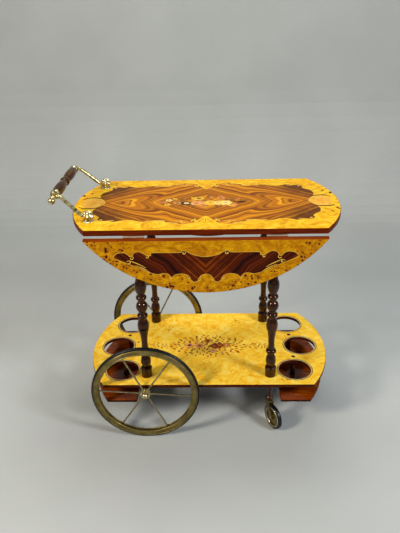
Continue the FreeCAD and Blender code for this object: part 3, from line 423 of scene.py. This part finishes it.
class Inlay:
    # gathers closed slips of veneer on one surface and makes them one piece, sizes in millimetres
    def __init__(self, where):
        self.where = surfaces[where]
        self.points, self.faces, self.kinds, self.edge, self.used = [], [], [], [], []
        self.count = 0

    def put(self, flat, height, edge, faces, kind):
        w = self.where
        flat, height = flat * mm, height * mm
        if kind not in self.used:
            self.used.append(kind)
        level = w["origin"] + flat[:, :1] * w["right"] + flat[:, 1:] * w["up"]
        self.points.append(level + height[:, None] * w["out"])
        self.edge.append(np.broadcast_to(edge, len(flat)))
        self.faces += [tuple(int(i) + self.count for i in face) for face in faces]
        self.kinds += [self.used.index(kind)] * len(faces)
        self.count += len(flat)

    def panel(self, outline, kind, high):
        # the outline at two heights, a face on each and a wall between them
        outline = turnedLeft(outline)
        n = len(outline)
        j = np.arange(n)
        k = (j + 1) % n
        faces = [j.tolist(), (n + j[::-1]).tolist()] + np.stack([j, n + j, n + k, k], 1).tolist()
        self.put(np.concatenate([outline, outline]), np.repeat([high, -slipDeep], n), 1.0, faces, kind)

    def petal(self, outline, kind, high, rings=3, core=0.0):
        # the outline o(t) shrunk towards its middle m, m + s (o(t) - m), level on top, with a wall round it;
        # the edge value grows from core in the middle to 1 at the outline
        outline = turnedLeft(outline)
        middle = outline.mean(0)
        n = len(outline)
        s = np.arange(1, rings + 1) / rings
        ring = (middle + s[:, None, None] * (outline - middle)).reshape(-1, 2)
        flat = np.concatenate([[middle], ring, outline, [middle]])
        height = np.concatenate([np.full(1 + rings * n, high), np.full(n + 1, -slipDeep)])
        edge = np.concatenate([[core], np.repeat(core + (1 - core) * s, n), np.ones(n + 1)])
        j = np.arange(n)
        k = (j + 1) % n
        last = 1 + rings * n
        faces = np.stack([np.zeros(n, int), 1 + j, 1 + k], 1).tolist()
        for a in range(1, last, n):
            faces += np.stack([a + j, a + n + j, a + n + k, a + k], 1).tolist()
        faces += np.stack([np.full(n, last + n), last + k, last + j], 1).tolist()
        self.put(flat, height, edge, faces, kind)

    def ribbon(self, path, width, kind, high, closed=False):
        # a strip carried along a path, its edges half a width to each side along the path's normal
        n = len(path)
        step = np.roll(path, -1, 0) - np.roll(path, 1, 0) if closed else np.gradient(path, axis=0)
        step = step / np.maximum(np.linalg.norm(step, axis=1, keepdims=True), 1e-9)
        side = np.stack([-step[:, 1], step[:, 0]], 1) * np.broadcast_to(width, n)[:, None] / 2
        flat = np.concatenate([path + side, path - side, path - side, path + side])
        height = np.repeat([high, -slipDeep], 2 * n)
        j = np.arange(n if closed else n - 1)
        k = (j + 1) % n
        faces = []
        for a, b in ((0, 1), (1, 2), (2, 3), (3, 0)):
            faces += np.stack([a * n + j, b * n + j, b * n + k, a * n + k], 1).tolist()
        if not closed:
            faces += [[0, 3 * n, 2 * n, n], [n - 1, 2 * n - 1, 3 * n - 1, 4 * n - 1]]
        self.put(flat, height, 1.0, faces, kind)

    def stroke(self, path, widths, kind, high):
        # a ribbon that swells in the middle of its path, as a half wave of the sine does
        thick, thin = widths
        wave = np.sin(np.linspace(0.15, math.pi * 0.97, len(path)))
        self.ribbon(path, thin + (thick - thin) * wave, kind, high)

    def flower(self, outline, woods, high, look):
        # two lobed rings of petals, the inner one smaller, turned and a shade higher
        place, radius, lobes, depth = outline
        self.petal(rosetteOutline(place, radius, lobes, depth), woods[0], high, core=look["core"])
        inner = rosetteOutline(place, radius * look["inner"], lobes, depth, look["turn"])
        self.petal(inner, woods[1], high + look["rise"], core=look["core"])

    def finishAs(self, name, body):
        addPiece(name, np.concatenate(self.points), self.faces, body, (self.used, self.kinds),
                 np.concatenate(self.edge))


def turnedLeft(outline):
    # the outline running anticlockwise, judged by the sign of its area
    ahead = np.roll(outline, -1, 0)
    area = np.sum(outline[:, 0] * ahead[:, 1] - ahead[:, 0] * outline[:, 1])
    return outline if area > 0 else outline[::-1]


def smoothLoop(p, steps=6):
    # a closed curve through every point p, with the cubic weights of a cardinal spline
    t = (np.arange(steps) / steps)[:, None, None]
    a, b, c, d = np.roll(p, 1, 0), p, np.roll(p, -1, 0), np.roll(p, -2, 0)
    curve = b + 0.5 * t * (c - a + t * (2 * a - 5 * b + 4 * c - d + t * (3 * (b - c) + d - a)))
    return curve.transpose(1, 0, 2).reshape(-1, 2)


def bentPath(points, n=24):
    # a smooth open curve: each coordinate is a polynomial through the points
    p = np.asarray(points, float)
    t = np.linspace(0, 1, len(p))
    fine = np.linspace(0, 1, n)
    return np.stack([np.polyval(np.polyfit(t, p[:, k], len(p) - 1), fine) for k in (0, 1)], 1)


def spiralPath(x, y, radius, start, turns, n=36):
    # a spiral whose radius falls evenly to a fifth while the angle grows
    t = np.linspace(0, 1, n)
    angle = math.radians(start) + 2 * math.pi * turns * t
    r = radius * (1 - 0.8 * t)
    return np.stack([r * np.cos(angle), r * np.sin(angle)], 1) + (x, y)


def fullTurn(n):
    # even angles once round
    return np.linspace(0, 2 * math.pi, n, endpoint=False)


def leafOutline(x, y, length, width, degrees, n=18):
    # a pointed leaf: half width follows the sine along the length, raised to sharpen both ends
    t = fullTurn(n)
    flat = np.stack([length / 2 * np.cos(t), width / 2 * np.sin(t) * np.abs(np.sin(t)) ** 0.6], 1)
    c, d = math.cos(math.radians(degrees)), math.sin(math.radians(degrees))
    return flat @ np.array([[c, d], [-d, c]]) + (x, y)


def rosetteOutline(place, radius, lobes, depth, turn=0.0, n=60):
    # a lobed circle: radius shrinks by a share of depth between the lobes, and is even without them
    t = fullTurn(n)
    r = radius * (1 - depth * (0.5 - 0.5 * np.cos(lobes * t + turn)))
    return np.stack([r * np.cos(t), r * np.sin(t)], 1) + place


fourCorners = [(1, 1), (1, -1), (-1, 1), (-1, -1)]
bothEnds = [(1, 1), (-1, 1)]
bothSides = [(1, 1), (1, -1)]

# top panel: dark field with bays at the corners, a tongue at each end, a tab at each long side;
# outlines are given for one corner, widths are a line's own or its middle and its ends
topPanel = {
    "quarter": ((271, 2), (274, 13), (280, 24), (286, 34), (291, 47), (293, 64), (288, 84), (276, 96),
                (268, 108), (270, 122), (262, 133), (246, 131), (226, 138), (206, 130), (186, 127),
                (168, 136), (148, 141), (128, 133), (108, 131), (98, 143), (82, 152), (62, 158), (46, 157),
                (34, 153), (26, 145), (27, 135), (18, 130), (11, 119), (2, 105)),
    "tongue": ((272, 0), (275, 13), (283, 25), (295, 34), (308, 37), (320, 33), (328, 20), (331, 0)),
    "tongueLine": ((278, 31), (292, 39), (308, 43), (323, 40), (334, 30)),
    "darts": ((338, 60, 16, 7, 62), (320, 80, 12, 5, 40)),
    "scrolls": ((52, 146, 11, 200, 1.0), (262, 124, 6, 20, 1.0)),
    "sprigs": ((80, 150, 30, 8, -16), (112, 136, 28, 7, 8), (142, 136, 20, 5, -10), (236, 130, 20, 5, 6),
               (30, 132, 24, 7, 62), (66, 136, 20, 6, 20)),
    "rib": ((3, 120), (8, 132), (18, 146)),
    "width": {"line": 1.2, "tongueLine": (6.5, 1.2), "scroll": (3.2, 0.8), "rib": (1.8, 0.5)},
    "high": {"field": 0.10, "tongue": 0.11, "line": 0.13, "trim": 0.16},
}
width, high = topPanel["width"], topPanel["high"]
quarter = np.array(topPanel["quarter"], float)
topLoop = smoothLoop(np.concatenate([quarter, quarter[::-1] * (-1, 1),
                                     quarter * (-1, -1), quarter[::-1] * (1, -1)]))
topInlay = Inlay("top")
topInlay.panel(topLoop, "topRosewood", high["field"])
topInlay.ribbon(topLoop, width["line"], "maple", high["line"], closed=True)
tongue = np.array(topPanel["tongue"], float)
tongueLoop = smoothLoop(np.concatenate([tongue, tongue[-2:0:-1] * (1, -1)]))
for flip in bothEnds:
    topInlay.petal(tongueLoop * flip, "tongueMaple", high["tongue"])
for flip in fourCorners:
    topInlay.stroke(bentPath(topPanel["tongueLine"]) * flip, width["tongueLine"], "ebony", high["line"])
    for dart in topPanel["darts"]:
        topInlay.petal(leafOutline(*dart) * flip, "ebony", high["line"])
    for scroll in topPanel["scrolls"]:
        topInlay.stroke(spiralPath(*scroll) * flip, width["scroll"], "maple", high["trim"])
    for sprig in topPanel["sprigs"]:
        topInlay.petal(leafOutline(*sprig) * flip, "maple", high["trim"])
for flip in bothSides:
    for spread in (-1, 0, 1):
        rib = bentPath([(spread * x, y) for x, y in topPanel["rib"]]) * flip
        topInlay.stroke(rib, width["rib"], "cherry", high["trim"])
topInlay.finishAs("top_inlay", "stand")

# flower spray in the middle of the top: rosettes of two woods with a dot, leaves round them, stems under them
topSpray = {
    "flowers": ((-100, 14, 11, 5, 0.4, "holly", "boxwood"), (-102, -20, 10, 5, 0.4, "boxwood", "pear"),
                (-76, -8, 12, 5, 0.3, "pear", "olive"), (-20, 26, 15, 5, 0.25, "boxwood", "olive"),
                (14, 32, 12, 6, 0.3, "cherry", "pear"), (40, 26, 12, 5, 0.3, "pear", "cherry"),
                (-52, -10, 15, 12, 0.1, "ebony", "holly"), (-8, -10, 17, 6, 0.2, "pear", "rosePear"),
                (-26, -11, 17, 6, 0.2, "rosePear", "pear"), (12, -9, 19, 6, 0.16, "boxwood", "boxwood"),
                (30, -11, 18, 5, 0.2, "boxwood", "holly"), (52, -10, 18, 6, 0.2, "paleBoxwood", "holly"),
                (74, -26, 9, 4, 0.3, "rosePear", "pear")),
    "leaves": ((-64, 18, 28, 11, 150, "olive"), (-116, -2, 26, 10, 184, "pear"),
               (-66, -24, 26, 10, 214, "olive"), (-34, 26, 26, 11, 118, "boxwood"),
               (6, 42, 26, 11, 80, "olive"), (36, 38, 26, 10, 50, "pear"),
               (66, 12, 30, 12, 24, "olive"), (92, -4, 30, 12, 6, "ebony"),
               (106, 8, 22, 9, 20, "olive"), (66, -32, 26, 10, -38, "boxwood"),
               (28, -33, 26, 11, -66, "olive"), (-6, -33, 26, 11, -100, "pear"),
               (-34, -31, 26, 10, -132, "olive"), (-84, 24, 20, 9, 130, "boxwood"),
               (-20, 42, 18, 8, 100, "olive"), (84, 16, 18, 8, 40, "pear"), (46, -32, 18, 8, -52, "pear"),
               (-88, -30, 18, 8, 230, "olive")),
    "stems": (((-112, -2), (-70, 2), (-20, 0), (30, -4), (98, -4)), ((-30, -2), (-12, 16), (8, 40)),
              ((20, -4), (40, 14), (64, 12)), ((-60, -6), (-78, 10), (-98, 12)),
              ((50, -8), (64, -20), (84, -24))),
    "stemWidth": 2.0, "look": {"inner": 0.52, "turn": 1.6, "rise": 0.01, "core": 0.3},
    "dot": {"share": 0.14, "lobes": 4, "depth": 0.1},
    "high": {"stem": 0.13, "leaf": 0.14, "flower": 0.16, "step": 0.03, "dot": 0.02},
}
high, dot = topSpray["high"], topSpray["dot"]
topFlowers = Inlay("top")
for stem in topSpray["stems"]:
    topFlowers.ribbon(bentPath(stem), topSpray["stemWidth"], "olive", high["stem"])
for *leaf, wood in topSpray["leaves"]:
    topFlowers.petal(leafOutline(*leaf), wood, high["leaf"])
# each flower lies a shade higher than the one before, so that overlapping petals part cleanly
for place, (x, y, radius, lobes, depth, outer, inner) in enumerate(topSpray["flowers"]):
    lift = high["flower"] + high["step"] * place
    topFlowers.flower(((x, y), radius, lobes, depth), (outer, inner), lift, topSpray["look"])
    middle = rosetteOutline((x, y), radius * dot["share"], dot["lobes"], dot["depth"])
    topFlowers.petal(middle, "cherry", lift + high["dot"])
topFlowers.finishAs("top_flower_inlay", "stand")

# leaf panel: straight upper edge with a drop, lobed lower edge, ends drawn out in lobes that carry scrolls
leafPanel = {
    "half": ((1, -47), (14, -45), (28, -41), (38, -36), (46, -30), (56, -29), (64, -34), (126, -34),
             (131, -41), (140, -43), (149, -36), (160, -31), (171, -34), (177, -44), (182, -45), (189, -37),
             (200, -33), (213, -36), (222, -46), (212, -54), (198, -61), (180, -70), (160, -80), (142, -90),
             (128, -96), (116, -98), (104, -95), (92, -98), (85, -107), (76, -100), (64, -97), (52, -98),
             (42, -104), (38, -114), (30, -122), (21, -119), (17, -110), (10, -101), (1, -98)),
    "scrolls": ((141, -46, 5, 110, 0.8), (179, -49, 6, 110, 0.8), (186, -62, 6, 20, 0.9),
                (52, -35, 5, 130, 0.9), (85, -109, 5, 70, -0.7), (41, -109, 5, 60, -0.8),
                (17, -114, 5, 120, 0.8)),
    "strokes": (((184, -56), (172, -62), (158, -70), (146, -79)),
                ((172, -71), (160, -76), (148, -83), (138, -91))),
    "rib": ((10, -27), (8, -34), (5, -42)),
    "width": {"line": 1.1, "scroll": (2.2, 0.7), "stroke": (2.4, 0.6), "rib": (1.5, 0.5)},
    "high": {"field": 0.10, "line": 0.115, "trim": 0.16, "stroke": 0.17},
}
width, high = leafPanel["width"], leafPanel["high"]
half = np.array(leafPanel["half"], float)
leafLoop = smoothLoop(np.concatenate([half, half[::-1] * (-1, 1)]))
for side in sides:
    leafInlay = Inlay(side)
    leafInlay.panel(leafLoop, "leafRosewood", high["field"])
    leafInlay.ribbon(leafLoop, width["line"], "maple", high["line"], closed=True)
    for flip in bothEnds:
        for scroll in leafPanel["scrolls"]:
            leafInlay.stroke(spiralPath(*scroll) * flip, width["scroll"], "maple", high["trim"])
        for stroke in leafPanel["strokes"]:
            leafInlay.stroke(bentPath(stroke) * flip, width["stroke"], "maple", high["stroke"])
    for spread in (-3, -2, -1, 0, 1, 2, 3):
        rib = bentPath([(spread * x, y) for x, y in leafPanel["rib"]])
        leafInlay.stroke(rib, width["rib"], "cherry", high["trim"])
    leafInlay.finishAs(side + "_leaf_inlay", side + "_leaf")

# shelf spray: petals set out like seeds, each a golden angle on from the last, in one oval with a small one
# at each side, flowers over them, and two rings of veneer round each bottle hole, measured from its bore
shelfSpray = {"seed": 7, "golden": 137.508, "jitter": 2.0, "lean": 50,
              "petal": {"long": (6, 10), "slender": 0.45, "core": 0.45, "points": 12},
              "ovals": ((0, 0, 130, 5.0, (2.0, 0.98), 1.4), (-150, 0, 22, 4.6, (1.7, 0.85), 1.0),
                        (146, 0, 20, 4.4, (1.7, 0.85), 1.0)),
              "woods": ("cherry", "padauk", "olive", "cherry", "pear", "olive"),
              "flowers": ((18, -2, 17, 4, "padauk", "cherry"), (32, 2, 16, 4, "padauk", "cherry"),
                          (-28, 0, 17, 6, "rosePear", "cherry"), (52, 2, 12, 5, "cherry", "rosePear"),
                          (-4, 26, 12, 6, "cherry", "padauk"), (-58, 2, 14, 5, "rosePear", "padauk"),
                          (14, -26, 12, 5, "rosePear", "pear")),
              "lobeDepth": 0.35, "look": {"inner": 0.5, "turn": 1.6, "rise": 0.015, "core": 0.4},
              "holeRings": ((1.8, 3.2, "sycamore", 0.12), (4.2, 1.6, "ebony", 0.14)),
              "high": {"petal": 0.12, "flower": 0.15, "step": 0.03}}
high, petal, woods = shelfSpray["high"], shelfSpray["petal"], shelfSpray["woods"]
shelfInlay = Inlay("shelf")
draw = np.random.RandomState(shelfSpray["seed"])
for x, y, count, gap, stretch, share in shelfSpray["ovals"]:
    i = np.arange(1, count + 1)
    angle = np.radians(shelfSpray["golden"]) * i
    spots = gap * np.sqrt(i)[:, None] * np.stack([np.cos(angle), np.sin(angle)], 1) * stretch + (x, y)
    spots = spots + draw.uniform(-1, 1, spots.shape) * shelfSpray["jitter"]
    lean = np.degrees(angle) + draw.uniform(-shelfSpray["lean"], shelfSpray["lean"], count)
    long = draw.uniform(*petal["long"], count) * share
    for k in range(count):
        outline = leafOutline(*spots[k], long[k], petal["slender"] * long[k], lean[k], petal["points"])
        shelfInlay.petal(outline, woods[k % len(woods)], high["petal"], rings=1, core=petal["core"])
for place, (x, y, radius, lobes, outer, inner) in enumerate(shelfSpray["flowers"]):
    lift = high["flower"] + high["step"] * place
    shape = ((x, y), radius, lobes, shelfSpray["lobeDepth"])
    shelfInlay.flower(shape, (outer, inner), lift, shelfSpray["look"])
for hole in frame["record"]["mounts"]:
    if hole["kind"] == "bore":
        middle = ((hole["pos_m"][0] - tableX) / mm, hole["pos_m"][1] / mm)
        for apart, across, wood, lift in shelfSpray["holeRings"]:
            ring = rosetteOutline(middle, hole["dims"]["r_mm"] + apart, lobes=0, depth=0.0, n=72)
            shelfInlay.ribbon(ring, across, wood, lift, closed=True)
shelfInlay.finishAs("shelf_inlay", "stand")
print("inlay made")

# cast work on the handle brackets: a lobed rosette round the foot and a bud of twisted leaves over the ball
castSet = {"lobes": 8, "rosette": 15.0, "lobeDepth": 0.16, "rosetteHigh": 6.0, "rosetteDeep": 0.3,
           "inner": 0.5, "ballHigh": 14.0, "bud": 12.6, "leaves": 6, "leafDepth": 1.9, "twist": 2.6}


def rosetteFoot(centre):
    # a dome profile carried round a lobed circle and closed underneath
    ring = rosetteOutline((0, 0), castSet["rosette"], castSet["lobes"], castSet["lobeDepth"], n=96)
    t = np.linspace(0, 1, 8)
    share = np.concatenate([[castSet["inner"], 1.0], 1 - (1 - castSet["inner"]) * t])
    dome = castSet["rosetteHigh"] * np.sin(t * math.pi / 2) ** 0.8
    height = np.concatenate([[-castSet["rosetteDeep"]] * 2, dome])
    flat = ring[:, None] * share[:, None]
    high = np.broadcast_to(height[:, None], flat.shape[:2] + (1,))
    return np.concatenate([flat, high], -1) * mm + centre


def leafBud(centre):
    # a ball whose radius rises and falls round it in leaves, turned further the lower they lie
    a = fullTurn(96)
    down = np.linspace(0.04, math.pi * 0.86, 28)[:, None]
    wave = np.abs(np.cos(castSet["leaves"] / 2 * a + castSet["twist"] * down)) - 0.5
    r = castSet["bud"] + castSet["leafDepth"] * 2 * wave * np.sin(down)
    high = castSet["ballHigh"] + r * np.cos(down)
    return np.stack([r * np.sin(down) * np.cos(a), r * np.sin(down) * np.sin(a), high], -1) * mm + centre


def gridFaces(rows, columns, start, loopRows):
    # quads of a grid whose columns close, and whose rows close or end in flat caps
    i, j = np.meshgrid(np.arange(rows if loopRows else rows - 1), np.arange(columns), indexing="ij")
    here, ahead, beside = i * columns, (i + 1) % rows * columns, (j + 1) % columns
    quads = np.stack([here + j, ahead + j, ahead + beside, here + beside], -1)
    faces = (quads.reshape(-1, 4) + start).tolist()
    if not loopRows:
        ring = np.arange(columns) + start
        faces += [ring.tolist(), (ring[::-1] + (rows - 1) * columns).tolist()]
    return faces


for side in sides:
    box = np.array(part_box(side + "_handle_bracket"))
    foot = np.array([box[:, 0].mean(), box[:, 1].mean(), topFace])
    rosette, bud = rosetteFoot(foot), leafBud(foot)
    points = np.concatenate([rosette.reshape(-1, 3), bud.reshape(-1, 3)])
    faces = gridFaces(*rosette.shape[:2], 0, True) + gridFaces(*bud.shape[:2], rosette[..., 0].size, False)
    addPiece(side + "_bracket_casting", points, faces, "stand", "castBrass", smooth=True)
print("castings made")

# rolled beads: thin rings on both faces of each wheel, dull along the rims of the big wheels and bright
# on the caster discs; for each ring its inset from the rim, its place beside the middle plane and its wire
beadSet = {"wheel": {"joint": "_wheel_spin", "body": "_wheel", "node": "_wheel_rim",
                     "rings": ((12.4, 5.2, 1.9), (-0.8, 5.6, 1.2)), "finish": "agedBrass"},
           "caster": {"joint": "_caster_roll", "body": "_caster_roller", "node": "_caster_wheel",
                      "rings": ((2.0, 4.2, 1.9),), "finish": "beadBrass"}}
places = {joint["name"]: joint for joint in frame["joints"]}


def rimBead(centre, axis, radius, apart, wire):
    # a small circle carried round an axis, set apart from the middle plane
    u = fullTurn(120)[:, None, None]
    v = fullTurn(10)[None, :, None]
    level = np.cross(axis, (0, 0, 1)) if abs(axis[2]) < 0.5 else np.array((1.0, 0.0, 0.0))
    out = np.cos(u) * level + np.sin(u) * np.cross(axis, level)
    return centre + (radius + wire * np.cos(v)) * out + (apart + wire * np.sin(v)) * axis


def addRings(name, rings, body, kind):
    rows, columns = rings[0].shape[:2]
    starts = np.arange(len(rings)) * rows * columns
    faces = [face for start in starts for face in gridFaces(rows, columns, start, True)]
    points = np.concatenate([ring.reshape(-1, 3) for ring in rings])
    addPiece(name, points, faces, body, kind, smooth=True)


for side in sides:
    for kind, bead in beadSet.items():
        joint = places[side + bead["joint"]]
        box = np.array(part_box(side + bead["node"]))
        outer = (box[1, 2] - box[0, 2]) / 2
        axis, centre = np.array(joint["axis"], float), np.array(joint["pos_m"])
        rings = [rimBead(centre, axis, outer - inset * mm, way * apart * mm, wire * mm)
                 for inset, apart, wire in bead["rings"] for way in (1, -1)]
        addRings(side + "_" + kind + "_beads", rings, side + bead["body"], bead["finish"])

# turned shoulder round each leg's foot, and a brass ferrule of two beads at each end of the grip;
# for each bead its inset from the end, its radius and its wire
footSet = {"high": 25.2, "radius": 10.2, "wire": 5.5}
ferruleSet = {"rings": ((4.4, 6.8, 5.2), (11.5, 6.8, 4.4))}
sideways, upright = np.eye(3)[1:]
shoulders = []
for name in ("front_left_leg", "front_right_leg", "rear_left_leg", "rear_right_leg"):
    middle = np.array(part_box(name)).mean(0)
    middle[2] = shelfFace + footSet["high"] * mm
    shoulders.append(rimBead(middle, upright, footSet["radius"] * mm, 0.0, footSet["wire"] * mm))
addRings("leg_foot_shoulders", shoulders, "stand", "walnut")
gripBox = np.array(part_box("handle_grip"))
reach = (gripBox[1, 1] - gripBox[0, 1]) / 2
ferrules = [rimBead(gripBox.mean(0), sideways, radius * mm, way * (reach - inset * mm), wire * mm)
            for inset, radius, wire in ferruleSet["rings"] for way in (1, -1)]
addRings("grip_ferrules", ferrules, "stand", "castBrass")
print("beads made")

# stage: floor and backdrop in one sweep
stageSet = {"half": 4.0, "front": -4.0, "wall": 1.9, "bend": 0.6, "height": 3.4,
            "paint": "#b1b4b0", "shade": "#aaada9", "cloudsPerMetre": 3.0}


def sweepMesh():
    # a floor line, a quarter circle and a wall line, carried from side to side
    arc = np.linspace(0, math.pi / 2, 13)
    wall, bend = stageSet["wall"], stageSet["bend"]
    y = np.concatenate([[stageSet["front"]], wall - bend + bend * np.sin(arc), [wall]])
    z = np.concatenate([[0.0], bend - bend * np.cos(arc), [stageSet["height"]]])
    x = np.array([-stageSet["half"], stageSet["half"]])
    points = np.stack(np.broadcast_arrays(x[None, :], y[:, None], z[:, None]), -1).reshape(-1, 3)
    i = np.arange(len(y) - 1) * 2
    mesh = bpy.data.meshes.new("floor")
    mesh.from_pydata(points.tolist(), [], np.stack([i, i + 1, i + 3, i + 2], 1).tolist())
    return mesh


floor = bpy.data.objects.new("floor", sweepMesh())
scene.collection.objects.link(floor)
# matt floor paint: even pale grey with faint broad clouds
floorPaint, tree, coords = newMaterial("matt_floor_paint")
speck = addNode(tree, "TexNoise", {"Vector": coords, "Scale": stageSet["cloudsPerMetre"], "Detail": 4.0})
paint = addNode(tree, "ValToRGB", {0: speck}, stops=((0.3, stageSet["shade"]), (0.7, stageSet["paint"])))
floor.data.materials.append(finished(floorPaint, Base_Color=paint, Roughness=0.8))

# a paler sky for the eye and for reflections than for the light that falls on the wood
skySet = {"tint": "#e6ebf0", "light": 0.15, "seen": 0.37}
world = scene.world or bpy.data.worlds.new("studio")
scene.world = world
world.use_nodes = True
skyTree = world.node_tree
background = next(n for n in skyTree.nodes if n.type == "BACKGROUND")
background.inputs[0].default_value = srgb(skySet["tint"])
ray = addNode(skyTree, "LightPath").node.outputs
seen = addNode(skyTree, "Math", {0: ray["Is Camera Ray"], 1: ray["Is Glossy Ray"]}, operation="MAXIMUM")
seen = addNode(skyTree, "Math", {0: seen, 1: ray["Is Transmission Ray"]}, operation="MAXIMUM")
level = addNode(skyTree, "MapRange", {0: seen, 3: skySet["light"], 4: skySet["seen"]})
skyTree.links.new(level, background.inputs[1])

# two soft lamps at the front and one above, all turned to the middle of the trolley
lampAim = Vector((0, 0, 0.4))
lampSet = {"keyLamp": {"place": (-1.9, -1.6, 1.9), "size": (0.6, 0.6), "power": 66, "colour": "#fff6ea"},
           "fillLamp": {"place": (2.0, -1.5, 1.9), "size": (0.6, 0.6), "power": 58, "colour": "#f6f9ff"},
           "overLamp": {"place": (0.1, 0.7, 3.0), "size": (1.4, 1.0), "power": 33, "colour": "#ffffff"}}
for name, look in lampSet.items():
    lamp = bpy.data.lights.new(name, "AREA")
    lamp.shape = "RECTANGLE"
    lamp.size, lamp.size_y = look["size"]
    lamp.energy = look["power"]
    lamp.color = srgb(look["colour"])[:3]
    holder = bpy.data.objects.new(name, lamp)
    holder.location = look["place"]
    beam = lampAim - Vector(look["place"])
    holder.rotation_euler = beam.to_track_quat("-Z", "Y").to_euler()
    scene.collection.objects.link(holder)

# camera, placed from the middle of the table
cameraSet = {"place": (tableX + 0.03043, -1.47336, 1.15089), "yaw": -0.0348, "pitch": 0.4538,
             "roll": -0.025, "sensor": 36.0, "focal": 584.883, "frameHeight": 533}
lens = bpy.data.cameras.new("camera")
lens.sensor_fit = "VERTICAL"
lens.sensor_height = cameraSet["sensor"]
lens.lens = cameraSet["sensor"] * cameraSet["focal"] / cameraSet["frameHeight"]  # focal is in picture rows
camera = bpy.data.objects.new("camera", lens)
yaw, pitch, roll = cameraSet["yaw"], cameraSet["pitch"], cameraSet["roll"]
ahead = Vector((math.sin(yaw) * math.cos(pitch), math.cos(yaw) * math.cos(pitch), -math.sin(pitch)))
right = Vector((math.cos(yaw), -math.sin(yaw), 0))
up = right.cross(ahead)
camRight = math.cos(roll) * right + math.sin(roll) * up
camUp = -math.sin(roll) * right + math.cos(roll) * up
turn = Matrix((camRight, camUp, -ahead)).transposed()
camera.matrix_world = Matrix.Translation(cameraSet["place"]) @ turn.to_4x4()
scene.collection.objects.link(camera)
scene.camera = camera
scene.view_settings.view_transform = "Standard"
print("stage, lights and camera set")
